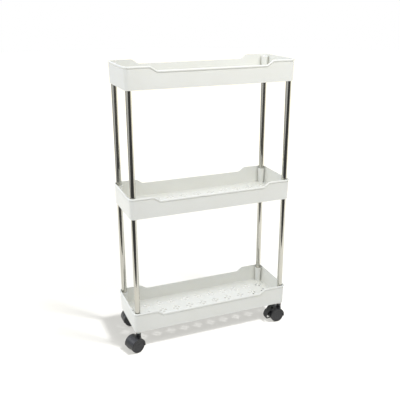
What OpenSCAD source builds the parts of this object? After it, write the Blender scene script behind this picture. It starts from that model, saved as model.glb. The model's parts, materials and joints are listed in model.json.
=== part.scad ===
// Rolling pantry cart: three perforated trays on four tube legs, which stand on four swivelling
// twin-wheel casters. Two of the casters, at opposite corners, have a foot brake.
// Millimetres, +Z up. The origin is on the floor under the middle of the cart, and -Y is its front.

/* [Cart] */
// Length over the tray rims
cart_len = 400; // [360:2:440]
// Depth over the tray rims
cart_depth = 143; // [135:1:170]
// Height of each tray, from its bottom edge to its rim
tray_h = 49; // [45:1:60]
// Rise from one tray to the next
tray_pitch = 283; // [220:1:320]

/* [Tray walls] */
// Thickness of a tray wall
wall_t = 2; // [1.6:0.2:2.4]
// Radius of the rim's corners, round the leg
rim_r = 11.5; // [11:0.5:13]
// How far the rim's lip stands out from the wall
lip_out = 2.3; // [1:0.1:2.4]
// Height of the rim's lip
lip_h = 4; // [3:0.5:6]
// How far the long sides dip below the ends
dip_depth = 10; // [4:1:14]
// Half the length over which the long sides are fully dipped
dip_half = 128; // [110:1:132]
// Length of the ramp at each end of a dip
dip_ramp = 15; // [10:1:18]

/* [Tray floor] */
// Height of the floor's upper face above the tray's bottom edge
floor_top = 6; // [5:0.5:8]
// Thickness of the floor
floor_t = 2; // [1.6:0.2:3]
// Hole clusters along the tray
hole_cols = 11; // [7:2:11]
// Hole clusters across the tray
hole_rows = 3; // [3:1:3]
// Diameter of a drain hole
hole_d = 6.3; // [4:0.1:6.6]
// Radius of the circle that the four holes of a cluster lie on
cluster_r = 7; // [6:0.5:7.5]
// Thickness of the ribs under the floor
rib_t = 1.6; // [1:0.2:2]

/* [Legs] */
// Outer diameter of the leg tubes
tube_d = 12.7; // [12:0.1:13]
// Wall thickness of the leg tubes
tube_t = 0.8; // [0.6:0.1:1]
// Outer diameter of the sleeves that hold the legs in a tray
sleeve_d = 17; // [16:0.5:18]
// How far the tops of the sleeves lie below the rim
sleeve_drop = 5; // [3:0.5:8]
// Height of the ledge that a leg's end meets inside a sleeve
ledge_t = 3.5; // [2.5:0.5:4]
// How far a joining plug reaches into each of its tubes
plug_reach = 18; // [12:1:22]

/* [Casters] */
// Diameter of a wheel
wheel_d = 34.8; // [30:0.2:36]
// Width of a wheel
wheel_w = 9; // [7:0.5:10]
// Distance from the swivel axis back to the wheels' axle
trail = 10.5; // [9:0.5:12]
// Thickness of the hood over the wheels
hood_t = 1.2; // [1:0.1:1.5]
// Height of the caster, from the floor to the top of its neck
caster_h = 44; // [43:0.5:45]
// Diameter of the swivel stem
stem_d = 8; // [7:0.5:8]
// Angle between the cart's length and the front left caster, seen from above
turned = 19; // [0:1:45]

/* [Brake] */
// Width of the brake pedal
pedal_w = 17; // [15:1:18]
// Thickness of the brake pedal
pedal_t = 2.2; // [1.8:0.1:2.6]

/* [Hidden] */
$fn = 64;
eps = 0.01;
// Clearances: a turning fit, a pressed fit, and free space between parts that move past each other
run_gap = 0.05;
press_gap = 0.02;
free_gap = 0.4;

// Corners of the cart: name, side in X, side in Y, heading of the caster, and whether it has a brake
CORNERS = [
    ["front_left", -1, -1, turned, false],
    ["front_right", 1, -1, 0, true],
    ["back_left", -1, 1, 180, true],
    ["back_right", 1, 1, 180 + turned, false]
];
BRAKED = [for (c = CORNERS) if (c[4]) c];

// Legs and trays
leg_x = cart_len / 2 - rim_r;
leg_y = cart_depth / 2 - rim_r;
wall_r = rim_r - lip_out;
inside_r = wall_r - wall_t;
tube_r = tube_d / 2;
tube_bore = tube_r - tube_t;
plug_r = tube_bore - run_gap;
sleeve_bore = tube_r + run_gap;
sleeve_h = tray_h - sleeve_drop;
foot_gap = 5;
bottom_z = caster_h + foot_gap;
middle_z = bottom_z + tray_pitch;
top_z = middle_z + tray_pitch;
middle_ledge = tray_h / 2 - ledge_t / 2;
cap_t = 2.5;
top_ledge = sleeve_h - cap_t - ledge_t;
lower_leg_z = bottom_z + ledge_t;
lower_leg_h = middle_z + middle_ledge - lower_leg_z;
upper_leg_z = middle_z + middle_ledge + ledge_t;
upper_leg_h = top_z + top_ledge - upper_leg_z;
end_margin = 23;
side_margin = 36.5;
col_pitch = (cart_len - 2 * end_margin) / (hole_cols - 1);
row_pitch = (cart_depth - 2 * side_margin) / (hole_rows - 1);
dip_top_half = dip_half + dip_ramp;

// Casters, in a frame whose axis is the swivel and which trails towards -X
wheel_r = wheel_d / 2;
hood_in = wheel_r + 0.5;
hood_r = hood_in + hood_t;
hood_lip_r = wheel_r - 2.5;
web_half = 5.6;
wheel_in = web_half + 0.6;
wheel_out = wheel_in + wheel_w;
hood_side_t = 0.8;
hood_half = wheel_out + free_gap + hood_side_t;
hood_front = -12;
hood_rear = 188;
neck_r = 5.75;
stem_r = stem_d / 2;
groove_d = 0.9;
stem_foot = 24;
stem_h = 48;
ring_z = 42.5;
ring_h = 1.1;
socket_z = caster_h + free_gap;
socket_collar_r = 6.6;
socket_h = 36;
socket_bore_h = stem_foot + stem_h + 2 - socket_z;
axle_r = 2;
axle_half = wheel_out - 1.6;

// Foot brake, measured from the axle
pin_r = 1.2;
pin_x = -10.5;
pin_z = 10.5;
slot_half = 3;
slot_front = 6;
arm_half = slot_half - free_gap;
eye_r = 3.2;
pedal_x = -13;
pedal_r = 16;
pedal_top = 100;
pedal_tip = 208;
// Brake pads, which reach from the pedal to the treads
pad_z = -7;
pad_h = 2.4;
pad_w = 1.9;
pad_inset = 0.3;
pad_y = pedal_w / 2 - pad_inset - pad_w / 2;
pad_near = wheel_r + 0.1;
pad_far = 27;

module tray_outline(r) {
    square([2 * leg_x, 2 * (leg_y + r)], center = true);
    square([2 * (leg_x + r), 2 * leg_y], center = true);
    at_legs_2d() circle(r);
}

module at_legs_2d() {
    for (c = CORNERS) translate([c[1] * leg_x, c[2] * leg_y]) children();
}

// The long side's top line, and the strip under it that stands out as the lip
module side_strip(top, bottom) {
    polygon([
        [-dip_top_half, top],
        [-dip_half, top - dip_depth],
        [dip_half, top - dip_depth],
        [dip_top_half, top],
        [dip_top_half, bottom],
        [dip_half, bottom - dip_depth],
        [-dip_half, bottom - dip_depth],
        [-dip_top_half, bottom]
    ]);
}

module side_lip(side) {
    lip_depth = rim_r - inside_r;
    translate([0, side * (leg_y + rim_r - lip_depth / 2), 0])
        rotate([90, 0, 0])
            linear_extrude(lip_depth, center = true)
                side_strip(tray_h, tray_h - lip_h);
}

module tray_walls() {
    difference() {
        union() {
            linear_extrude(tray_h) tray_outline(wall_r);
            translate([0, 0, tray_h - lip_h])
                linear_extrude(lip_h)
                    difference() {
                        tray_outline(rim_r);
                        square([2 * dip_top_half, 2 * cart_depth], center = true);
                    }
        }
        translate([0, 0, -eps]) linear_extrude(tray_h + 1) tray_outline(inside_r);
        rotate([90, 0, 0])
            linear_extrude(2 * cart_depth, center = true)
                side_strip(tray_h, tray_h + dip_depth + lip_h);
    }
    side_lip(-1);
    side_lip(1);
}

module tray_floor() {
    translate([0, 0, floor_top - floor_t])
        linear_extrude(floor_t)
            difference() {
                tray_outline(inside_r + wall_t / 2);
                for (i = [0 : hole_cols - 1], j = [0 : hole_rows - 1])
                    translate([(i - (hole_cols - 1) / 2) * col_pitch, (j - (hole_rows - 1) / 2) * row_pitch])
                        for (a = [0 : 90 : 270]) rotate(a) translate([cluster_r, 0]) circle(d = hole_d, $fn = 24);
            }
}

module tray_ribs() {
    linear_extrude(floor_top - floor_t + eps) {
        for (i = [1 : hole_cols - 1])
            translate([(i - hole_cols / 2) * col_pitch, 0])
                square([rib_t, 2 * (leg_y + inside_r) + wall_t], center = true);
        for (j = [1 : hole_rows - 1])
            translate([0, (j - hole_rows / 2) * row_pitch])
                square([2 * (leg_x + inside_r) + wall_t, rib_t], center = true);
    }
}

// One tray. The ledge inside each sleeve is where the ends of the leg tubes stop.
module tray(z, ledge_z) {
    translate([0, 0, z])
        difference() {
            union() {
                tray_walls();
                tray_floor();
                tray_ribs();
                linear_extrude(sleeve_h) at_legs_2d() circle(d = sleeve_d);
            }
            translate([0, 0, -1]) linear_extrude(tray_h + 2) at_legs_2d() circle(tube_bore + run_gap);
            if (ledge_z > 0) translate([0, 0, -1]) linear_extrude(ledge_z + 1) at_legs_2d() circle(sleeve_bore);
            translate([0, 0, ledge_z + ledge_t]) linear_extrude(tray_h) at_legs_2d() circle(sleeve_bore);
        }
}

module bottom_tray() {
    color("whitesmoke") tray(bottom_z, 0);
}

module middle_tray() {
    color("whitesmoke") tray(middle_z, middle_ledge);
}

module top_tray() {
    color("whitesmoke") tray(top_z, top_ledge);
}

module at_leg(c) {
    translate([c[1] * leg_x, c[2] * leg_y, 0]) children();
}

module tube(z, h) {
    translate([0, 0, z])
        linear_extrude(h)
            difference() {
                circle(tube_r);
                circle(tube_bore);
            }
}

module lower_leg(c) {
    color("silver") at_leg(c) tube(lower_leg_z, lower_leg_h);
}

module upper_leg(c) {
    color("silver") at_leg(c) tube(upper_leg_z, upper_leg_h);
}

// Solid plug that lines up two tubes through the middle tray's ledge
module leg_joiner(c) {
    color("dimgray")
        at_leg(c)
            translate([0, 0, upper_leg_z - ledge_t - plug_reach])
                rotate_extrude()
                    polygon([
                        [0, 0],
                        [plug_r - 1, 0],
                        [plug_r, 1],
                        [plug_r, 2 * plug_reach + ledge_t - 1],
                        [plug_r - 1, 2 * plug_reach + ledge_t],
                        [0, 2 * plug_reach + ledge_t]
                    ]);
}

// Cap flush with the top of the top tray's sleeve, with a moulding dimple in its middle
module leg_cap(c) {
    cap_top = top_z + sleeve_h;
    cap_reach = 12;
    edge = 0.6;
    dimple_r = 1.5;
    color("white")
        at_leg(c)
            translate([0, 0, cap_top])
                rotate_extrude()
                    polygon([
                        [0, -cap_t - cap_reach],
                        [plug_r - 1, -cap_t - cap_reach],
                        [plug_r, -cap_t - cap_reach + 1],
                        [plug_r, -cap_t],
                        [tube_r, -cap_t],
                        [tube_r, -edge],
                        [tube_r - edge, 0],
                        [dimple_r, 0],
                        [dimple_r, -1],
                        [0, -1]
                    ]);
}

// Insert in the foot of a leg: the tray stands on its collar, and the caster's stem turns in its bore
module caster_socket(c) {
    collar_h = bottom_z - socket_z;
    color("gainsboro")
        at_leg(c)
            translate([0, 0, socket_z])
                difference() {
                    union() {
                        cylinder(h = collar_h, r = socket_collar_r);
                        cylinder(h = socket_h, r = plug_r);
                    }
                    translate([0, 0, -1]) cylinder(h = socket_bore_h + 1, r = stem_r + run_gap);
                    translate([0, 0, stem_foot + ring_z - free_gap - socket_z])
                        cylinder(h = ring_h + 2 * free_gap, r = stem_r + groove_d);
                }
}

module at_caster(c) {
    at_leg(c) rotate([0, 0, c[3]]) children();
}

// Turns a drawing of (forward, up) measured from the axle into a part across the caster
module across(width) {
    translate([-trail, 0, wheel_r]) rotate([90, 0, 0]) linear_extrude(width, center = true) children();
}

module caster_stem(c) {
    tip = 2;
    groove_z = ring_z - 0.2;
    groove_h = ring_h + free_gap;
    color("darkgray")
        at_caster(c)
            translate([0, 0, stem_foot])
                rotate_extrude()
                    polygon([
                        [0, 0],
                        [stem_r, 0],
                        [stem_r, groove_z],
                        [stem_r - groove_d, groove_z],
                        [stem_r - groove_d, groove_z + groove_h],
                        [stem_r, groove_z + groove_h],
                        [stem_r, stem_h - tip],
                        [stem_r - tip, stem_h],
                        [0, stem_h]
                    ]);
}

// Split spring ring that snaps into the socket and keeps the stem from dropping out
module stem_ring(c) {
    split = 50;
    ring_in = stem_r - groove_d + run_gap;
    ring_w = 1.35;
    color("gray")
        at_caster(c)
            translate([0, 0, stem_foot + ring_z])
                rotate_extrude(angle = 360 - split)
                    translate([ring_in, 0])
                        square([ring_w, ring_h]);
}

module hood_shell() {
    translate([-trail, 0, wheel_r])
        rotate([90, 0, 0])
            rotate([0, 0, hood_front])
                rotate_extrude(angle = hood_rear - hood_front)
                    polygon([
                        [hood_lip_r, -hood_half],
                        [hood_r, -hood_half],
                        [hood_r, hood_half],
                        [hood_lip_r, hood_half],
                        [hood_lip_r, hood_half - hood_side_t],
                        [hood_in, hood_half - hood_side_t],
                        [hood_in, -hood_half + hood_side_t],
                        [hood_lip_r, -hood_half + hood_side_t]
                    ]);
}

module hood_web() {
    hub_r = 5;
    across(2 * web_half) {
        intersection() {
            circle(hood_in + hood_t / 2);
            translate([-hood_r, -1]) square([2 * hood_r, 2 * hood_r]);
        }
        circle(hub_r);
    }
}

// Hood, middle web and neck in one moulding. A braked one is slotted at the rear for its lever.
module caster_hood(c) {
    neck_foot = wheel_r + 2;
    color("dimgray")
        at_caster(c)
            difference() {
                union() {
                    hood_shell();
                    hood_web();
                    translate([0, 0, neck_foot]) cylinder(h = caster_h - neck_foot, r = neck_r);
                }
                translate([0, 0, stem_foot - press_gap]) cylinder(h = caster_h, r = stem_r + press_gap);
                across(2 * hood_half) circle(axle_r + press_gap);
                if (c[4]) {
                    across(2 * slot_half) translate([-hood_r - slot_front, -hood_r]) square([hood_r, 2 * hood_r]);
                    across(2 * web_half + 1) translate([pin_x, pin_z]) circle(pin_r + press_gap);
                }
            }
}

module axle(c) {
    color("silver") at_caster(c) across(2 * axle_half) circle(axle_r);
}

// One wheel: a disc with rounded edges and a shallow dish, turning on the axle
module wheel(c, side) {
    round_r = 1.5;
    dish_r = wheel_r - 4;
    dish = 0.5;
    steps = [0 : 15 : 90];
    color("darkslategray")
        at_caster(c)
            translate([-trail, 0, wheel_r])
                rotate([side * 90, 0, 0])
                    difference() {
                        rotate_extrude()
                            polygon(concat(
                                [[0, wheel_in]],
                                [for (a = steps) [wheel_r - round_r * (1 - sin(a)), wheel_in + round_r * (1 - cos(a))]],
                                [for (a = steps) [wheel_r - round_r * (1 - cos(a)), wheel_out - round_r * (1 - sin(a))]],
                                [[dish_r, wheel_out], [dish_r - dish, wheel_out - dish], [0, wheel_out - dish]]
                            ));
                        translate([0, 0, wheel_in - 1])
                            cylinder(h = axle_half + free_gap - wheel_in + 1, r = axle_r + run_gap);
                    }
}

module outer_wheel(c) {
    wheel(c, 1);
}

module inner_wheel(c) {
    wheel(c, -1);
}

// Lever in its locked position: an arm on the pin, a curved pedal, and two pads that meet the treads
module brake_lever(c) {
    color("black")
        at_caster(c)
            difference() {
                union() {
                    translate([pedal_x - trail, 0, wheel_r])
                        rotate([90, 0, 0])
                            rotate([0, 0, pedal_top])
                                rotate_extrude(angle = pedal_tip - pedal_top)
                                    translate([pedal_r - pedal_t, -pedal_w / 2])
                                        square([pedal_t, pedal_w]);
                    across(2 * arm_half) {
                        translate([pin_x, pin_z]) circle(eye_r);
                        intersection() {
                            translate([pedal_x, 0]) circle(pedal_r - pedal_t / 2);
                            polygon([[pin_x + 2, pin_z - 2.5], [pin_x + 1, pedal_r], [-2 * pedal_r, pedal_r], [-2 * pedal_r, 4]]);
                        }
                    }
                    for (side = [-1, 1])
                        translate([-trail - pad_far, side * pad_y - pad_w / 2, wheel_r + pad_z])
                            cube([pad_far - pad_near, pad_w, pad_h]);
                }
                across(pedal_w) translate([pin_x, pin_z]) circle(pin_r + run_gap);
            }
}

module brake_pin(c) {
    color("silver") at_caster(c) across(2 * web_half - 0.2) translate([pin_x, pin_z]) circle(pin_r);
}

bottom_tray();
middle_tray();
top_tray();
for (c = CORNERS) {
    lower_leg(c);
    upper_leg(c);
    leg_joiner(c);
    leg_cap(c);
    caster_socket(c);
    caster_stem(c);
    stem_ring(c);
    caster_hood(c);
    axle(c);
    outer_wheel(c);
    inner_wheel(c);
}
for (c = BRAKED) {
    brake_lever(c);
    brake_pin(c);
}
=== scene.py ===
# Rolling pantry cart: the finished pieces and their materials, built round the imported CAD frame.
# The scene is in metres. Shapes are drawn in millimetres, and scaled when they become pieces.
# +Z is up, -Y is the cart's front, and the origin is on the floor under its middle.
import json
import math

import bmesh
import bpy
from mathutils import Matrix, Vector

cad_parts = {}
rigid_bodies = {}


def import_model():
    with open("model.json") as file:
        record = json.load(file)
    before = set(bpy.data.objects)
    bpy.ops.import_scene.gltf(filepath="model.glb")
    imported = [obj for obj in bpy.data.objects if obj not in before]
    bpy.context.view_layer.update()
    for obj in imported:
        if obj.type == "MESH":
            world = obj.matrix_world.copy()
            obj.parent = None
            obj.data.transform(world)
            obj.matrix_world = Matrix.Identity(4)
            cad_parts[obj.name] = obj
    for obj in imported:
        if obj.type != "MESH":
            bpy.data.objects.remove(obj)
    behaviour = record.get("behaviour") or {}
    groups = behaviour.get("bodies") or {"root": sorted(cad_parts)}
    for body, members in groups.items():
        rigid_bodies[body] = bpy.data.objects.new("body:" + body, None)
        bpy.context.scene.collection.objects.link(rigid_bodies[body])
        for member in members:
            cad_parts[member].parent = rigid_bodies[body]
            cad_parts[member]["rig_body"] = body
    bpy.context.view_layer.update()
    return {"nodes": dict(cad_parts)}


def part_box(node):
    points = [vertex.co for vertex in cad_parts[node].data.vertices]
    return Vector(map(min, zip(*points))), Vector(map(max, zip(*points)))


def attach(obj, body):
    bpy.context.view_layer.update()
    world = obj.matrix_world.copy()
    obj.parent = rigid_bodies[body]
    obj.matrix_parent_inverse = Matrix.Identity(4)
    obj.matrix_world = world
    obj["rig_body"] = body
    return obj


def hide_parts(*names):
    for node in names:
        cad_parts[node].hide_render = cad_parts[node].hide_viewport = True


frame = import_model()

MM = 0.001
CORNERS = ("front_left", "front_right", "back_left", "back_right")
BRAKED = ("front_right", "back_left")


# ---------------------------------------------------------------- places, from the frame

def box_mm(node):
    low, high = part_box(node)
    return low / MM, high / MM


def centre_mm(node):
    low, high = box_mm(node)
    return (low + high) / 2


LEGS = {corner: centre_mm("lower_leg_" + corner) for corner in CORNERS}
LEG_X = abs(LEGS["front_left"].x)
LEG_Y = abs(LEGS["front_left"].y)
TUBE_R = (box_mm("lower_leg_front_left")[1].x - box_mm("lower_leg_front_left")[0].x) / 2
WHEEL_R = box_mm("outer_wheel_front_left")[1].z / 2
CASTER_TOP = box_mm("caster_hood_front_left")[1].z
TRAY_FOOT, TRAY_TOP = (corner.z for corner in box_mm("bottom_tray"))
RIM_H = TRAY_TOP - TRAY_FOOT
RIM_OUT = box_mm("bottom_tray")[1].x - LEG_X


def caster_place(corner):
    """The caster's frame in metres: its swivel axis on the floor, trailing towards -X."""
    leg, axle = LEGS[corner], centre_mm("axle_" + corner)
    heading = math.atan2(leg.y - axle.y, leg.x - axle.x)
    return Matrix.Translation((leg.x * MM, leg.y * MM, 0)) @ Matrix.Rotation(heading, 4, "Z")


def trail_of(corner):
    return (centre_mm("axle_" + corner) - LEGS[corner]).to_2d().length


TRAIL = trail_of("front_left")


# ---------------------------------------------------------------- shapes

def arc(centre, radius, start, end, steps=6):
    """Points on an arc in a profile's plane, from one angle to another, in degrees."""
    angles = [math.radians(start + (end - start) * i / steps) for i in range(steps + 1)]
    return [(centre[0] + radius * math.cos(a), centre[1] + radius * math.sin(a)) for a in angles]


def sweep(bm, rings, closed=False):
    """Skins a row of outlines. An open row gets a face at each end."""
    made = [[bm.verts.new(point) for point in ring] for ring in rings]
    following = made[1:] + (made[:1] if closed else [])
    for ring, beyond in zip(made, following):
        for i in range(len(ring)):
            j = (i + 1) % len(ring)
            bm.faces.new((ring[i], ring[j], beyond[j], beyond[i]))
    if not closed:
        bm.faces.new(made[0])
        bm.faces.new(made[-1])


def lathe(bm, profile, steps=64, place=Matrix()):
    """Turns a profile of (radius, height) about Z. It starts and ends on the axis, or is a closed loop."""
    poles = {i: bm.verts.new(place @ Vector((0, 0, p[1]))) for i, p in enumerate(profile) if p[0] == 0}
    columns = []
    for k in range(steps):
        a = math.tau * k / steps
        columns.append([
            poles[i] if i in poles
            else bm.verts.new(place @ Vector((r * math.cos(a), r * math.sin(a), z)))
            for i, (r, z) in enumerate(profile)
        ])
    spans = len(profile) - (1 if poles else 0)
    for k, column in enumerate(columns):
        beyond = columns[(k + 1) % steps]
        for i in range(spans):
            j = (i + 1) % len(profile)
            corners = [column[i], beyond[i], beyond[j], column[j]]
            bm.faces.new(list(dict.fromkeys(corners)))


def prism(bm, outline, low, high, place=Matrix()):
    """Extrudes an outline of (x, y) points between two heights."""
    sweep(bm, [[place @ Vector((x, y, z)) for x, y in outline] for z in (low, high)])


def block(bm, low, high, bevel=0.0):
    """A box between two corners, with its edges rounded."""
    part = bmesh.new()
    bmesh.ops.create_cube(part, size=1)
    size, middle = Vector(high) - Vector(low), (Vector(high) + Vector(low)) / 2
    bmesh.ops.scale(part, vec=size, verts=part.verts)
    bmesh.ops.translate(part, vec=middle, verts=part.verts)
    if bevel:
        bmesh.ops.bevel(part, geom=part.edges[:], offset=bevel, segments=3, profile=0.5, affect="EDGES")
    add_mesh(bm, part)


def add_mesh(bm, part):
    mesh = bpy.data.meshes.new("part")
    part.to_mesh(mesh)
    part.free()
    bm.from_mesh(mesh)
    bpy.data.meshes.remove(mesh)


# Turns a drawing of (forward, up) into a shape that lies across the caster
ACROSS = Matrix.Rotation(math.radians(90), 4, "X")


def solid(name, draw):
    """An object of what draw(bm) adds, still in millimetres."""
    bm = bmesh.new()
    draw(bm)
    bmesh.ops.recalc_face_normals(bm, faces=bm.faces)
    mesh = bpy.data.meshes.new(name)
    bm.to_mesh(mesh)
    bm.free()
    obj = bpy.data.objects.new(name, mesh)
    bpy.context.scene.collection.objects.link(obj)
    return obj


def combine(obj, operation, draw):
    """Adds a shape to obj, or cuts it away, with an exact result that stays one closed mesh."""
    other = solid("tool", draw)
    modifier = obj.modifiers.new("combine", "BOOLEAN")
    modifier.object = other
    modifier.operation = operation
    modifier.solver = "MANIFOLD"
    graph = bpy.context.evaluated_depsgraph_get()
    mesh = bpy.data.meshes.new_from_object(obj.evaluated_get(graph))
    obj.modifiers.clear()
    before = obj.data
    obj.data = mesh
    bpy.data.meshes.remove(before)
    bpy.data.objects.remove(other)
    return obj


def add(obj, draw):
    return combine(obj, "UNION", draw)


def cut(obj, draw):
    return combine(obj, "DIFFERENCE", draw)


def duplicate(obj, name):
    copy = bpy.data.objects.new(name, obj.data.copy())
    bpy.context.scene.collection.objects.link(copy)
    return copy


def piece(obj, node, material, place=Matrix(), crease=32):
    """Finishes a piece that stands for a CAD node: metres, place, shading, material, and its body."""
    obj.name = node + "_piece"
    obj.data.name = obj.name
    obj.data.transform(Matrix.Scale(MM, 4))
    obj.matrix_world = place
    obj.data.shade_smooth()
    obj.data.set_sharp_from_angle(angle=math.radians(crease))
    normals = obj.modifiers.new("weighted_normals", "WEIGHTED_NORMAL")
    normals.keep_sharp = True
    obj.data.materials.clear()
    obj.data.materials.append(material)
    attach(obj, frame["nodes"][node]["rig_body"])
    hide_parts(node)
    return obj


def keep(node, material):
    """A CAD node whose shape is right stays, in its own material."""
    mesh = frame["nodes"][node].data
    mesh.materials.clear()
    mesh.materials.append(material)


# ---------------------------------------------------------------- materials

class Finish:
    """A procedural material: a Principled shader, and short ways to drive it from noise."""

    def __init__(self, name, **uniform):
        self.material = bpy.data.materials.new(name)
        self.material.use_nodes = True
        self.tree = self.material.node_tree
        self.shader = self.tree.nodes["Principled BSDF"]
        for socket, value in uniform.items():
            self.shader.inputs[socket.replace("_", " ")].default_value = value
        self.place = self.tree.nodes.new("ShaderNodeTexCoord").outputs["Object"]

    def link(self, output, socket):
        self.tree.links.new(output, socket)

    def noise(self, size_mm, detail=2.0, stretch=(1, 1, 1)):
        """Noise whose features are about size_mm across, drawn out along an axis by stretch."""
        mapping = self.tree.nodes.new("ShaderNodeMapping")
        mapping.inputs["Scale"].default_value = [1 / s for s in stretch]
        self.link(self.place, mapping.inputs["Vector"])
        noise = self.tree.nodes.new("ShaderNodeTexNoise")
        noise.inputs["Scale"].default_value = 1 / (size_mm * MM)
        noise.inputs["Detail"].default_value = detail
        self.link(mapping.outputs["Vector"], noise.inputs["Vector"])
        return noise.outputs["Fac"]

    def remap(self, value, low, high, start=0.3, end=0.7):
        """Value from start to end becomes low to high."""
        node = self.tree.nodes.new("ShaderNodeMapRange")
        self.link(value, node.inputs["Value"])
        for socket, number in (("From Min", start), ("From Max", end), ("To Min", low), ("To Max", high)):
            node.inputs[socket].default_value = number
        return node.outputs["Result"]

    def blend(self, factor, first, second):
        """A colour between first and second. Each is a colour or another node's output."""
        node = self.tree.nodes.new("ShaderNodeMix")
        node.data_type = "RGBA"
        self.link(factor, node.inputs["Factor"])
        for socket, colour in ((node.inputs["A"], first), (node.inputs["B"], second)):
            if isinstance(colour, tuple):
                socket.default_value = (*colour, 1)
            else:
                self.link(colour, socket)
        return node.outputs["Result"]

    def colour(self, output):
        self.link(output, self.shader.inputs["Base Color"])

    def roughness(self, output):
        self.link(output, self.shader.inputs["Roughness"])

    def bump(self, *layers):
        """Layers of (height, strength, depth in millimetres), the first at the bottom."""
        normal = None
        for height, strength, depth in layers:
            node = self.tree.nodes.new("ShaderNodeBump")
            node.inputs["Strength"].default_value = strength
            node.inputs["Distance"].default_value = depth * MM
            self.link(height, node.inputs["Height"])
            if normal:
                self.link(normal, node.inputs["Normal"])
            normal = node.outputs["Normal"]
        self.link(normal, self.shader.inputs["Normal"])


def tray_plastic():
    """White moulded polypropylene: soft sheen, slight warmth where it is thick, fine moulded grain."""
    f = Finish("tray_plastic", IOR=1.49, Subsurface_Weight=0.2, Subsurface_Scale=0.003)
    f.shader.inputs["Subsurface Radius"].default_value = (1.0, 0.95, 0.85)
    drift = f.noise(90, 3)
    flow = f.noise(14, 4, (5, 1, 1))
    body = f.blend(f.remap(drift, 0, 1), (0.765, 0.763, 0.705), (0.740, 0.735, 0.670))
    f.colour(f.blend(f.remap(flow, 0, 0.35), body, (0.765, 0.763, 0.72)))
    f.roughness(f.remap(f.noise(6, 4), 0.30, 0.44))
    f.bump((f.noise(30, 2), 0.25, 0.25), (f.noise(0.45, 2), 0.12, 0.03))
    return f.material


def chrome():
    """Bright plated tube: faint drawing lines along it, and a haze that wanders."""
    f = Finish("chrome_tube", Metallic=1.0)
    f.colour(f.blend(f.remap(f.noise(60, 3), 0, 1), (0.53, 0.52, 0.47), (0.48, 0.475, 0.44)))
    haze = f.noise(18, 4, (1, 1, 3))
    f.roughness(f.remap(haze, 0.05, 0.11))
    f.bump((f.noise(0.5, 3, (1, 1, 60)), 0.05, 0.02))
    return f.material


def dark_nylon(name, dark, light, rough, grain_mm):
    """Charcoal moulded plastic: fine grain, and a dry, greyer bloom in patches."""
    f = Finish(name, IOR=1.5)
    patches = f.noise(7, 4)
    f.colour(f.blend(f.remap(patches, 0, 1), dark, light))
    f.roughness(f.remap(f.noise(3, 3), rough - 0.07, rough + 0.07))
    f.bump((f.noise(grain_mm, 3), 0.3, 0.06), (f.noise(grain_mm * 6, 2), 0.15, 0.12))
    return f.material


def pale_nylon(name, base, warm, rough):
    """Natural or white nylon: slightly waxy, with a little warmth and fine grain."""
    f = Finish(name, IOR=1.5, Subsurface_Weight=0.15, Subsurface_Scale=0.003)
    f.colour(f.blend(f.remap(f.noise(9, 3), 0, 1), base, warm))
    f.roughness(f.remap(f.noise(4, 3), rough - 0.06, rough + 0.08))
    f.bump((f.noise(0.4, 2), 0.15, 0.03))
    return f.material


def steel(name, colour, shade, rough):
    """Turned, plated steel: rings of fine tool marks and a slightly mottled plating."""
    f = Finish(name, Metallic=1.0)
    f.colour(f.blend(f.remap(f.noise(2.5, 4), 0, 1), colour, shade))
    f.roughness(f.remap(f.noise(1.2, 4), rough - 0.08, rough + 0.12))
    f.bump((f.noise(0.25, 3, (8, 8, 1)), 0.2, 0.02))
    return f.material


TRAY = tray_plastic()
CHROME = chrome()
HOOD = dark_nylon("caster_plastic", (0.008, 0.008, 0.009), (0.018, 0.018, 0.019), 0.33, 0.4)
WHEEL = dark_nylon("wheel_plastic", (0.015, 0.015, 0.016), (0.025, 0.025, 0.027), 0.50, 0.35)
BRAKE = dark_nylon("brake_plastic", (0.010, 0.010, 0.011), (0.020, 0.020, 0.021), 0.40, 0.5)
PLUG = dark_nylon("plug_plastic", (0.10, 0.10, 0.10), (0.14, 0.14, 0.14), 0.5, 0.5)
SOCKET = pale_nylon("socket_plastic", (0.62, 0.61, 0.57), (0.55, 0.54, 0.49), 0.42)
CAP = pale_nylon("cap_plastic", (0.82, 0.82, 0.80), (0.76, 0.75, 0.72), 0.38)
STEEL = steel("caster_steel", (0.66, 0.66, 0.67), (0.52, 0.52, 0.54), 0.3)
SPRING = steel("spring_steel", (0.40, 0.39, 0.38), (0.28, 0.28, 0.29), 0.36)


# ---------------------------------------------------------------- trays

LIP_H = 4
WALL_T = 2
WALL_FOOT = 9.0
WALL_HEAD = 10.2
DIP_DEPTH = 10
DIP_OUTER = 143
DIP_INNER = 128
DIP_SOFT = 2.7
FLOOR_TOP = 6
FLOOR_T = 2
CORNER_STEPS = 16
HOLE_COLS = 11
HOLE_ROWS = 3
COL_PITCH = 35.4
ROW_PITCH = 35
HOLE_R = 3.15
CLUSTER_R = 7
SLEEVE_TOP = 44
BORE_R = TUBE_R + 0.05
PLUG_BORE_R = TUBE_R - 0.75


def soft_ramp(t):
    """The larger of t and zero, with the kink rounded off."""
    if abs(t) >= DIP_SOFT:
        return max(t, 0.0)
    return (t + DIP_SOFT) ** 2 / (4 * DIP_SOFT)


def rim_height(x):
    """Height of a long side's rim, which dips between the ends."""
    run = DIP_OUTER - DIP_INNER
    into = DIP_OUTER - abs(x)
    return RIM_H - DIP_DEPTH / run * (soft_ramp(into) - soft_ramp(into - run))


def wall_out(z):
    """How far the drafted wall's outer face lies outside the legs' rectangle."""
    return WALL_FOOT + (WALL_HEAD - WALL_FOOT) * z / (RIM_H - LIP_H)


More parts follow.
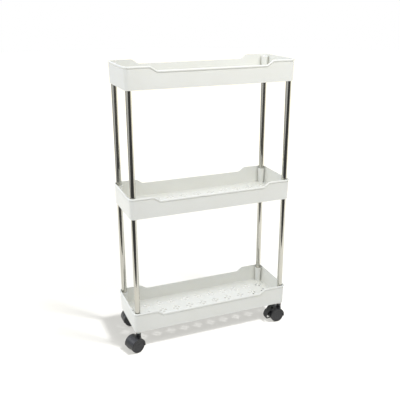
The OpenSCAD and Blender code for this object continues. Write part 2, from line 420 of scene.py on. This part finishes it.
def wall_section(rim):
    """Outline of the wall as (offset, height), where its rim is at that height: a bead over a groove."""
    lip = rim - LIP_H
    edge, bead_under, bead_over, fillet = 0.4, 1.2, 2.1, 2.0
    groove, groove_h = 1.2, 2.8
    root = FLOOR_TOP + fillet
    inner = wall_out(root) - WALL_T
    return (
        arc((wall_out(edge) - edge, edge), edge, -90, 0, 3)
        + [(wall_out(lip - groove_h), lip - groove_h), (wall_out(lip) - groove, lip - groove_h + groove)]
        + [(wall_out(lip) - groove, lip)]
        + arc((RIM_OUT - bead_under, lip + bead_under), bead_under, -90, 0, 5)
        + arc((RIM_OUT - bead_over, rim - bead_over), bead_over, 0, 90, 8)
        + arc((wall_out(rim) - WALL_T + edge, rim - edge), edge, 90, 180, 3)
        + arc((inner - fillet, root), fillet, 0, -90, 5)
        + [(inner - fillet, FLOOR_TOP - FLOOR_T / 2), (inner, FLOOR_TOP - FLOOR_T / 2)]
        + arc((wall_out(edge) - WALL_T + edge, edge), edge, 180, 270, 3)
    )


def ramp_stops():
    """Places along a long side where the rim's line bends."""
    first, last = DIP_INNER - DIP_SOFT, DIP_OUTER + DIP_SOFT
    count = 18
    ramp = [first + (last - first) * i / count for i in range(count + 1)]
    return [-x for x in reversed(ramp)] + ramp


def round_tray():
    """Stations round a tray: a point on the legs' rectangle, the way out from it, and the rim's height."""
    stations = []
    for quarter, (sx, sy) in enumerate(((1, -1), (1, 1), (-1, 1), (-1, -1))):
        for i in range(CORNER_STEPS + 1):
            a = math.radians(90 * (quarter - 1 + i / CORNER_STEPS))
            stations.append((Vector((sx * LEG_X, sy * LEG_Y)), Vector((math.cos(a), math.sin(a))), RIM_H))
        if quarter in (1, 3):
            out = Vector((0, sy))
            stations += [(Vector((x * -sy, sy * LEG_Y)), out, rim_height(x)) for x in ramp_stops()]
    return stations


def outline_of(offset):
    return [(at + out * offset)[:] for at, out, rim in round_tray()]


def draw_walls(bm):
    rings = []
    for at, out, rim in round_tray():
        rings.append([(*(at + out * offset), z) for offset, z in wall_section(rim)])
    sweep(bm, rings, closed=True)


def draw_floor(bm):
    inside_wall = WALL_FOOT - WALL_T / 2
    prism(bm, outline_of(inside_wall), FLOOR_TOP - FLOOR_T, FLOOR_TOP)


def draw_rib(bm, half_x, half_y, x, y):
    """One drafted rib. Its thin side is the smaller half size."""
    foot, draft = 0.4, 0.2
    for_x = draft if half_x < half_y else 0
    for_y = draft - for_x
    rings = []
    for z, less in ((foot, 1), (FLOOR_TOP - FLOOR_T / 2, 0)):
        hx, hy = half_x - for_x * less, half_y - for_y * less
        rings.append([(x - hx, y - hy, z), (x + hx, y - hy, z), (x + hx, y + hy, z), (x - hx, y + hy, z)])
    sweep(bm, rings)


RIB_HALF = 0.8


def draw_long_ribs(bm):
    for j in range(1, HOLE_ROWS):
        draw_rib(bm, LEG_X + WALL_FOOT - 1, RIB_HALF, 0, (j - HOLE_ROWS / 2) * ROW_PITCH)


def draw_cross_ribs(bm):
    for i in range(1, HOLE_COLS):
        draw_rib(bm, RIB_HALF, LEG_Y + WALL_FOOT - 1, (i - HOLE_COLS / 2) * COL_PITCH, 0)


def at_legs():
    return [Matrix.Translation((sx * LEG_X, sy * LEG_Y, 0)) for sx in (-1, 1) for sy in (-1, 1)]


def draw_sleeves(bm):
    """Tapered columns round the legs, filleted into the floor."""
    foot_r, head_r, edge, fillet = 7.3, 8.3, 0.4, 1.6

    def radius(z):
        return foot_r + (head_r - foot_r) * z / SLEEVE_TOP

    root = FLOOR_TOP + fillet
    inside_floor = FLOOR_TOP - FLOOR_T / 2
    profile = (
        [(0, 0), (radius(0) - edge, 0), (radius(edge), edge), (radius(inside_floor), inside_floor)]
        + [(radius(root) + fillet, inside_floor)]
        + arc((radius(root) + fillet, root), fillet, 270, 180, 5)
        + arc((head_r - edge, SLEEVE_TOP - edge), edge, 0, 90, 3)
        + [(0, SLEEVE_TOP)]
    )
    for place in at_legs():
        lathe(bm, profile, 48, place)


def draw_holes(bm):
    """Drain holes with a rounded upper edge, in clusters of four."""
    edge = 0.45
    below, above = FLOOR_TOP - FLOOR_T - 1, FLOOR_TOP + 1
    profile = (
        [(0, below), (HOLE_R, below)]
        + arc((HOLE_R + edge, FLOOR_TOP - edge), edge, 180, 90, 3)
        + [(HOLE_R + edge, above), (0, above)]
    )
    for i in range(HOLE_COLS):
        for j in range(HOLE_ROWS):
            x, y = (i - (HOLE_COLS - 1) / 2) * COL_PITCH, (j - (HOLE_ROWS - 1) / 2) * ROW_PITCH
            for quarter in range(4):
                a = math.tau * quarter / 4
                place = Matrix.Translation((x + CLUSTER_R * math.cos(a), y + CLUSTER_R * math.sin(a), 0))
                lathe(bm, profile, 24, place)


def draw_bores(ledge_low, ledge_high):
    """The legs' bores, with the ledge that the tubes' ends meet."""
    chamfer, past = 0.4, 2

    def draw(bm):
        profile = [(0, -past)]
        if ledge_low > 0:
            profile += [(BORE_R, -past), (BORE_R, ledge_low), (PLUG_BORE_R, ledge_low)]
        else:
            profile += [(PLUG_BORE_R, -past)]
        profile += [
            (PLUG_BORE_R, ledge_high),
            (BORE_R, ledge_high),
            (BORE_R, SLEEVE_TOP - chamfer),
            (BORE_R + chamfer, SLEEVE_TOP),
            (BORE_R + chamfer, SLEEVE_TOP + past),
            (0, SLEEVE_TOP + past),
        ]
        for place in at_legs():
            lathe(bm, profile, 64, place)

    return draw


def build_trays():
    blank = solid("tray_blank", draw_walls)
    for draw in (draw_floor, draw_long_ribs, draw_cross_ribs, draw_sleeves):
        add(blank, draw)
    cut(blank, draw_holes)
    ledge_t = box_mm("lower_leg_front_left")[0].z - TRAY_FOOT
    middle_foot, top_foot = box_mm("middle_tray")[0].z, box_mm("top_tray")[0].z
    ledges = {
        "bottom_tray": 0,
        "middle_tray": box_mm("lower_leg_front_left")[1].z - middle_foot,
        "top_tray": box_mm("upper_leg_front_left")[1].z - top_foot,
    }
    for node, ledge in ledges.items():
        tray = cut(duplicate(blank, node), draw_bores(ledge, ledge + ledge_t))
        piece(tray, node, TRAY, Matrix.Translation((0, 0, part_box(node)[0].z)))
    bpy.data.objects.remove(blank)


build_trays()


# ---------------------------------------------------------------- legs, caps and sockets

TUBE_T = 0.8


def draw_tube(length):
    edge = 0.25
    inner = TUBE_R - TUBE_T

    def draw(bm):
        lathe(bm, [
            (inner, edge), (inner + edge, 0), (TUBE_R - edge, 0), (TUBE_R, edge),
            (TUBE_R, length - edge), (TUBE_R - edge, length), (inner + edge, length), (inner, length - edge),
        ], 96)

    return draw


def draw_cap(height):
    """Push-in cap: a rounded head with a small dimple, and a plug with a tapered end."""
    head, round_r, dimple_r, dimple = 2.5, 0.7, 1.5, 0.5
    plug_r = TUBE_R - TUBE_T - 0.05

    def draw(bm):
        lathe(bm, [(0, 0), (plug_r - 1, 0), (plug_r, 1), (plug_r, height - head), (TUBE_R, height - head)]
              + arc((TUBE_R - round_r, height - round_r), round_r, 0, 90, 5)
              + [(dimple_r + dimple, height), (dimple_r, height - dimple), (0, height - dimple)], 64)

    return draw


def draw_socket(bm):
    """Insert in a leg's foot: a collar under the tray, a plug in the tube, and a blind bore for the stem."""
    foot, head = box_mm("caster_socket_front_left")[0].z, box_mm("caster_socket_front_left")[1].z
    collar_r, plug_r, bore_r, edge = 6.6, TUBE_R - TUBE_T - 0.05, 4.05, 0.5
    roof = 3.4
    lathe(bm, [(0, head - roof), (bore_r, head - roof), (bore_r, foot + edge), (bore_r + edge, foot)]
          + arc((collar_r - edge, foot + edge), edge, -90, 0, 4)
          + arc((collar_r - edge / 2, TRAY_FOOT - edge / 2), edge / 2, 0, 90, 3)
          + [(plug_r, TRAY_FOOT), (plug_r, head - 1), (plug_r - 1, head), (0, head)], 64)


def build_legs():
    for corner in CORNERS:
        leg = LEGS[corner]
        for kind in ("lower_leg_", "upper_leg_"):
            low, high = box_mm(kind + corner)
            place = Matrix.Translation((leg.x * MM, leg.y * MM, low.z * MM))
            piece(solid(kind, draw_tube(high.z - low.z)), kind + corner, CHROME, place)
        low, high = box_mm("leg_cap_" + corner)
        place = Matrix.Translation((leg.x * MM, leg.y * MM, low.z * MM))
        piece(solid("cap", draw_cap(high.z - low.z)), "leg_cap_" + corner, CAP, place)
        place = Matrix.Translation((leg.x * MM, leg.y * MM, 0))
        piece(solid("socket", draw_socket), "caster_socket_" + corner, SOCKET, place)
        keep("leg_joiner_" + corner, PLUG)


build_legs()


# ---------------------------------------------------------------- casters

WEB_HALF = 5.6
WHEEL_IN = 6.2
WHEEL_OUT = 15.2
HOOD_IN = WHEEL_R + 0.5
HOOD_R = HOOD_IN + 1.2
HOOD_HALF = 16.4
HOOD_SIDE_T = 0.8
HOOD_LIP_R = WHEEL_R - 2.5
HOOD_ARC = (-12, 188)
NECK_R = 5.75
STEM_BORE_R = 4.02
STEM_FOOT = 24
AXLE_R = 2
SLOT_HALF = 3
SLOT_FRONT = 6
PIN = (-10.5, 10.5)
PIN_R = 1.2
PRESS_GAP = 0.02
TURN_GAP = 0.05

# The axle's frame inside the caster's
AXLE = Matrix.Translation((-TRAIL, 0, WHEEL_R))
# The same, for profiles that turn about the axle
ABOUT_AXLE = AXLE @ ACROSS


def draw_shell(bm):
    """The hood: a band round the wheels' tops, with a lip down each side and rounded shoulders."""
    spare, shoulder, edge = 0.1, 1.3, 0.25
    side = HOOD_HALF - HOOD_SIDE_T - spare
    half = (
        [(HOOD_IN - spare, side), (HOOD_LIP_R + edge, side)]
        + [(HOOD_LIP_R, side + edge), (HOOD_LIP_R, HOOD_HALF - edge), (HOOD_LIP_R + edge, HOOD_HALF)]
        + arc((HOOD_R - shoulder, HOOD_HALF - shoulder), shoulder, 90, 0, 5)
    )
    section = half + [(r, -y) for r, y in reversed(half)]
    steps = 72
    rings = []
    for i in range(steps + 1):
        a = math.radians(HOOD_ARC[0] + (HOOD_ARC[1] - HOOD_ARC[0]) * i / steps)
        rings.append([AXLE @ Vector((r * math.cos(a), y, r * math.sin(a))) for r, y in section])
    sweep(bm, rings)


def draw_web(bm):
    """The plate between the wheels, with the boss that holds the axle."""
    outer, boss, drop, spare = HOOD_IN + 0.6, 5, 1, 0.1
    low_outer, low_boss = (math.degrees(math.asin(drop / r)) for r in (outer, boss))
    outline = arc((0, 0), outer, -low_outer, 180 + low_outer, 48)
    outline += arc((0, 0), boss, 180 + low_boss, 360 - low_boss, 20)
    prism(bm, outline, -WEB_HALF - spare, WEB_HALF + spare, ABOUT_AXLE)


def draw_neck(bm):
    """The neck round the stem, which widens into the hood below."""
    foot, waist, flare, edge = WHEEL_R + 2, 37.5, 2.2, 0.4
    steps = 8
    curve = []
    for i in range(steps + 1):
        t = i / steps
        curve.append((NECK_R + flare * (1 - t) ** 2.2, foot + 4 + (waist - foot - 4) * t))
    lathe(bm, [(0, foot), (NECK_R + flare, foot)] + curve
          + arc((NECK_R - edge, CASTER_TOP - edge), edge, 0, 90, 3) + [(0, CASTER_TOP)], 64)


def draw_wheel_room(bm):
    """Room for a wheel on each side of the web: a full circle whose last point isn't its first."""
    last_angle, steps = 357.5, 143
    for side in (-1, 1):
        low, high = sorted((side * WEB_HALF, side * (HOOD_HALF - HOOD_SIDE_T)))
        prism(bm, arc((0, 0), HOOD_IN, 0, last_angle, steps), low, high, ABOUT_AXLE)


def draw_stem_bore(bm):
    past = 3
    lathe(bm, [(0, STEM_FOOT), (STEM_BORE_R, STEM_FOOT), (STEM_BORE_R, CASTER_TOP + past),
               (0, CASTER_TOP + past)], 48)


def draw_axle_bore(bm):
    radius, half = AXLE_R + PRESS_GAP, WEB_HALF + 1
    lathe(bm, [(0, -half), (radius, -half), (radius, half), (0, half)], 32, ABOUT_AXLE)


def draw_slot(bm):
    """Room for the brake lever's arm, through the hood's rear."""
    reach = HOOD_R + 2
    prism(bm, [(-reach, -reach), (-SLOT_FRONT, -reach), (-SLOT_FRONT, reach), (-reach, reach)],
          -SLOT_HALF, SLOT_HALF, ABOUT_AXLE)


def draw_pin_bore(radius):
    half = 12

    def draw(bm):
        place = ABOUT_AXLE @ Matrix.Translation((*PIN, 0))
        lathe(bm, [(0, -half), (radius, -half), (radius, half), (0, half)], 32, place)

    return draw


def build_hood(corner):
    hood = solid("hood", draw_shell)
    add(hood, draw_web)
    add(hood, draw_neck)
    for draw in (draw_wheel_room, draw_stem_bore, draw_axle_bore):
        cut(hood, draw)
    if corner in BRAKED:
        cut(hood, draw_slot)
        cut(hood, draw_pin_bore(PIN_R + PRESS_GAP))
    return piece(hood, "caster_hood_" + corner, HOOD, caster_place(corner))


def draw_wheel(bm):
    """Wheel about Z, its outer face up: crowned tread, a raised rim round a shallow dish, and a small hub."""
    shoulder, crown = 1.5, 0.12
    dish_r, dish, ease = WHEEL_R - 4, 0.5, 0.35
    hub_r, hub, groove = 5.2, 0.35, 0.3
    axle_end = WHEEL_OUT - 1.6 + 0.4
    bore_r, chamfer = AXLE_R + TURN_GAP, 0.3
    middle = (WHEEL_IN + WHEEL_OUT) / 2
    edge_r = WHEEL_R - crown
    face = WHEEL_OUT - dish
    bore = [(0, axle_end), (bore_r, axle_end), (bore_r, WHEEL_IN + chamfer), (bore_r + chamfer, WHEEL_IN)]
    lathe(bm, bore
          + arc((edge_r - shoulder, WHEEL_IN + shoulder), shoulder, -90, 0, 6)
          + [(WHEEL_R, middle)]
          + arc((edge_r - shoulder, WHEEL_OUT - shoulder), shoulder, 0, 90, 6)
          + arc((dish_r + ease, WHEEL_OUT - ease / 2), ease / 2, 90, 180, 3)
          + [(dish_r, face + ease / 2), (dish_r - ease / 2, face)]
          + [(hub_r + groove, face), (hub_r, face - groove), (hub_r - groove, face)]
          + [(hub_r - 2 * groove, face + hub / 2), (0, face + hub / 2)], 96)


def build_wheel(corner, kind, side):
    turn = Matrix.Rotation(math.radians(90 * side), 4, "X")
    place = caster_place(corner) @ Matrix.Translation((-TRAIL * MM, 0, WHEEL_R * MM)) @ turn
    piece(solid("wheel", draw_wheel), kind + corner, WHEEL, place)


PEDAL_X = -13
PEDAL_R = 16
PEDAL_T = 2.2
PEDAL_HALF = 8.5
PEDAL_ARC = (100, 208)
ARM_HALF = SLOT_HALF - 0.4


def draw_pedal(bm):
    """The curved pedal: a rounded strip that narrows and thins at its tip."""
    round_r, steps, ease = 0.7, 46, 8
    rings = []
    for i in range(steps + 1):
        angle = PEDAL_ARC[0] + (PEDAL_ARC[1] - PEDAL_ARC[0]) * i / steps
        a = math.radians(angle)
        near_tip = max(0.0, 1 - (PEDAL_ARC[1] - angle) / ease)
        half = PEDAL_HALF - 3.0 * (1 - math.sqrt(1 - (0.98 * near_tip) ** 2))
        outer, inner = PEDAL_R, PEDAL_R - PEDAL_T + 0.6 * near_tip
        section = (
            arc((outer - round_r, half - round_r), round_r, 0, 90, 4)
            + arc((inner + round_r, half - round_r), round_r, 90, 180, 4)
            + arc((inner + round_r, -half + round_r), round_r, 180, 270, 4)
            + arc((outer - round_r, -half + round_r), round_r, 270, 360, 4)
        )
        rings.append([
            AXLE @ Vector((PEDAL_X + r * math.cos(a), y, r * math.sin(a))) for r, y in section
        ])
    sweep(bm, rings)


def draw_grips(bm):
    """Ridges across the pedal, for the foot."""
    count, first, last, half, rise = 5, 158, 198, 6.4, 0.5
    outline = arc((0, 0), rise, 0, 330, 11)
    for i in range(count):
        a = math.radians(first + (last - first) * i / (count - 1))
        at = AXLE @ Vector((PEDAL_X + PEDAL_R * math.cos(a), 0, PEDAL_R * math.sin(a)))
        place = Matrix.Translation(at) @ Matrix.Rotation(-a, 4, "Y") @ ACROSS
        prism(bm, outline, -half, half, place)


def draw_arm(bm):
    """The arm from the pedal to the eye on the pin."""
    first, last = 75, 163
    disc = arc((PEDAL_X, 0), PEDAL_R - PEDAL_T / 2, first, last, 24)
    under_pin = (PIN[0] + 2, PIN[1] - 2.5)
    prism(bm, disc + [under_pin], -ARM_HALF, ARM_HALF, ABOUT_AXLE)


def draw_eye(bm):
    half, radius, edge = ARM_HALF, 3.2, 0.3
    profile = [
        (0, -half), (radius - edge, -half), (radius, -half + edge),
        (radius, half - edge), (radius - edge, half), (0, half),
    ]
    lathe(bm, profile, 40, ABOUT_AXLE @ Matrix.Translation((*PIN, 0)))


def draw_pads(bm):
    """Two pads that reach from the pedal to the wheels' treads."""
    near, far, low, high, width, inset = WHEEL_R + 0.1, 27, -7, -4.6, 1.9, 0.3
    for side in (-1, 1):
        middle = side * (PEDAL_HALF - inset - width / 2)
        block(bm, (-TRAIL - far, middle - width / 2, WHEEL_R + low),
              (-TRAIL - near, middle + width / 2, WHEEL_R + high), bevel=0.35)


def build_lever(corner):
    lever = solid("lever", draw_pedal)
    for draw in (draw_grips, draw_arm, draw_eye, draw_pads):
        add(lever, draw)
    cut(lever, draw_pin_bore(PIN_R + TURN_GAP))
    piece(lever, "brake_lever_" + corner, BRAKE, caster_place(corner))
    keep("brake_pin_" + corner, STEEL)


def build_casters():
    for corner in CORNERS:
        build_hood(corner)
        build_wheel(corner, "outer_wheel_", 1)
        build_wheel(corner, "inner_wheel_", -1)
        keep("caster_stem_" + corner, STEEL)
        keep("axle_" + corner, STEEL)
        keep("stem_ring_" + corner, SPRING)
    for corner in BRAKED:
        build_lever(corner)


build_casters()


# ---------------------------------------------------------------- floor, light and camera

CAMERA_AT = (-0.5071, -1.2541, 0.8017)
CAMERA_TURN = (70.865, 0.198, -21.845)
HEADING = math.radians(CAMERA_TURN[2])
LENS_MM = 53.4
SENSOR_MM = 36
TABLE_HALF = 9.0
# Going to the camera's right, where the room's grey floor ends and its dark floor starts
GREY_END = -1.25
# Going towards the camera, where the floor in front of the table starts
FRONT_START = 0.45
ROOM_HALF = 8
# What doesn't shade the table from the small lamp
UPPER = ("top_tray", "middle_tray", "upper_leg", "leg_cap")


def floor_painted_glow_material():
    """A matt white table top with a painted glow that is stronger away from the cart. Where the glow is weak
    near the cart, it is painted shade round the cart. The glow's warm tint is painted warm light in the
    cart's shadow.
    """
    near, near_painted_glow, far, far_painted_glow = 0.3, 0.07, 2.0, 0.64
    f = Finish("studio_floor", Roughness=0.9, Specular_IOR_Level=0.1)
    f.colour(f.blend(f.remap(f.noise(700, 2), 0, 1), (0.545, 0.54, 0.525), (0.53, 0.525, 0.51)))
    # Painted warm light: this warm tint of the glow shows in the cart's shadow, where the floor is not
    # already brighter than white
    f.shader.inputs["Emission Color"].default_value = (1.0, 0.90, 0.64, 1)
    # Painted shade: the glow grows with distance from the cart, so the floor is darker round it
    away = f.tree.nodes.new("ShaderNodeVectorMath")
    away.operation = "LENGTH"
    f.link(f.place, away.inputs[0])
    glow = f.remap(away.outputs["Value"], near_painted_glow, far_painted_glow, near, far)
    f.link(glow, f.shader.inputs["Emission Strength"])
    f.material.cycles.emission_sampling = "NONE"
    return f.material


def stage_object(name, bm, material):
    """Something of the studio's, in metres."""
    mesh = bpy.data.meshes.new(name)
    bm.to_mesh(mesh)
    bm.free()
    mesh.materials.append(material)
    obj = bpy.data.objects.new(name, mesh)
    bpy.context.scene.collection.objects.link(obj)
    return obj


def glow_material(name, level, tint=(1, 1, 1)):
    paint = bpy.data.materials.new(name)
    paint.use_nodes = True
    nodes = paint.node_tree.nodes
    nodes.remove(nodes["Principled BSDF"])
    glow = nodes.new("ShaderNodeEmission")
    glow.inputs["Color"].default_value = (*tint, 1)
    glow.inputs["Strength"].default_value = level
    paint.node_tree.links.new(glow.outputs["Emission"], nodes["Material Output"].inputs["Surface"])
    paint.cycles.emission_sampling = "NONE"
    return paint


def build_floor():
    """The table. It lights nothing: the bounce card does that."""
    bm = bmesh.new()
    bmesh.ops.create_grid(bm, x_segments=4, y_segments=4, size=TABLE_HALF)
    floor = stage_object("studio_floor", bm, floor_painted_glow_material())
    floor.visible_diffuse = False
    return floor


def build_card(name, corners, level, tint, seen_by="glossy"):
    """A card that only shows in reflections, or only lights what is above it."""
    bm = bmesh.new()
    bm.faces.new([bm.verts.new(corner) for corner in corners])
    card = stage_object(name, bm, glow_material(name, level, tint))
    for ray in {"camera", "diffuse", "glossy", "shadow", "transmission"} - {seen_by}:
        setattr(card, "visible_" + ray, False)


def build_bounce():
    """The soft light that comes up from the table."""
    half, high = TABLE_HALF, 0.002
    corners = [(-half, -half, high), (half, -half, high), (half, half, high), (-half, half, high)]
    build_card("bounce", corners, 0.95, (0.985, 0.995, 1.0), "diffuse")


def build_floor_card(name, across, towards, level, tint=(1, 1, 1)):
    """The studio's floor past the white table, as the tubes see it, square to the camera's heading."""
    right = Vector((math.cos(HEADING), math.sin(HEADING), 0))
    front = Vector((math.sin(HEADING), -math.cos(HEADING), 0))
    (left, right_end), (near, far) = across, towards
    corners = [(left, near), (right_end, near), (right_end, far), (left, far)]
    raised = Vector((0, 0, 0.004))
    build_card(name, [right * s + front * t + raised for s, t in corners], level, tint)


def build_backdrop():
    """A white wall all round the floor, which lights nothing."""
    foot, height, steps = -1, 6.0, 96
    bm = bmesh.new()
    low = [bm.verts.new((*point, foot)) for point in arc((0, 0), ROOM_HALF, 0, 360, steps)[:-1]]
    high = [bm.verts.new((*v.co.xy, height)) for v in low]
    for i in range(steps):
        j = (i + 1) % steps
        bm.faces.new((low[i], low[j], high[j], high[i]))
    wall = stage_object("backdrop", bm, glow_material("backdrop", 1.0))
    for ray in ("diffuse", "glossy", "shadow", "transmission"):
        setattr(wall, "visible_" + ray, False)


def build_world():
    """A white studio that is brightest overhead, and brighter on its left than on its right."""
    world = bpy.data.worlds.new("studio")
    bpy.context.scene.world = world
    world.use_nodes = True
    nodes, links = world.node_tree.nodes, world.node_tree.links
    towards_light = nodes.new("ShaderNodeVectorMath")
    towards_light.operation = "DOT_PRODUCT"
    links.new(nodes.new("ShaderNodeTexCoord").outputs["Generated"], towards_light.inputs[0])
    towards_light.inputs[1].default_value = (-0.50, 0.33, 0.80)
    ramp = nodes.new("ShaderNodeMapRange")
    for socket, number in (("From Min", -0.4), ("From Max", 1.0), ("To Min", 0.15), ("To Max", 1.3)):
        ramp.inputs[socket].default_value = number
    links.new(towards_light.outputs["Value"], ramp.inputs["Value"])
    links.new(ramp.outputs["Result"], nodes["Background"].inputs["Strength"])
    nodes["Background"].inputs["Color"].default_value = (0.945, 0.985, 1.09, 1)


def aim(obj, at, towards):
    obj.location = at
    obj.rotation_euler = (Vector(towards) - Vector(at)).to_track_quat("-Z", "Y").to_euler()


def build_light(name, at, towards, size, watts):
    light = bpy.data.lights.new(name, "AREA")
    light.shape = "DISK"
    light.size = size
    light.energy = watts
    obj = bpy.data.objects.new(name, light)
    bpy.context.scene.collection.objects.link(obj)
    aim(obj, at, towards)
    return obj


def group(name, objects):
    collection = bpy.data.collections.new(name)
    for obj in objects:
        collection.objects.link(obj)
    return collection


def build_sun_patches(floor):
    """A small light on the table only, so that the drain holes show in the bottom tray's shadow."""
    light = build_light("patches", at=(0.92, -1.07, 2.6), towards=(0, 0, 0.2), size=0.46, watts=84)
    meshes = [obj for obj in bpy.context.scene.objects if obj.type == "MESH"]
    shading = [obj for obj in meshes if not obj.name.startswith(UPPER)]
    light.light_linking.receiver_collection = group("patches_on", [floor])
    light.light_linking.blocker_collection = group("patches_shade", shading)


def build_camera():
    camera = bpy.data.cameras.new("camera")
    camera.sensor_width = SENSOR_MM
    camera.lens = LENS_MM
    obj = bpy.data.objects.new("camera", camera)
    bpy.context.scene.collection.objects.link(obj)
    obj.location = CAMERA_AT
    obj.rotation_euler = [math.radians(angle) for angle in CAMERA_TURN]
    bpy.context.scene.camera = obj


table = build_floor()
build_backdrop()
build_floor_card("dark_front", (GREY_END, ROOM_HALF), (FRONT_START, ROOM_HALF), 0.08, (0.95, 0.97, 1.0))
build_floor_card("grey_front", (-ROOM_HALF, GREY_END), (FRONT_START, ROOM_HALF), 0.80)
build_floor_card("grey_left", (-ROOM_HALF, GREY_END), (-ROOM_HALF, FRONT_START), 0.50)
build_bounce()
build_world()
build_sun_patches(table)
build_light("key", at=(0.3, -0.8, 1.45), towards=(0, 0, 0.5), size=0.8, watts=9.5)
build_light("fill", at=(-1.4, 0.55, 1.3), towards=(-0.2, 0, 0.66), size=1.0, watts=5.5)
build_camera()
bpy.context.scene.view_settings.view_transform = "Standard"
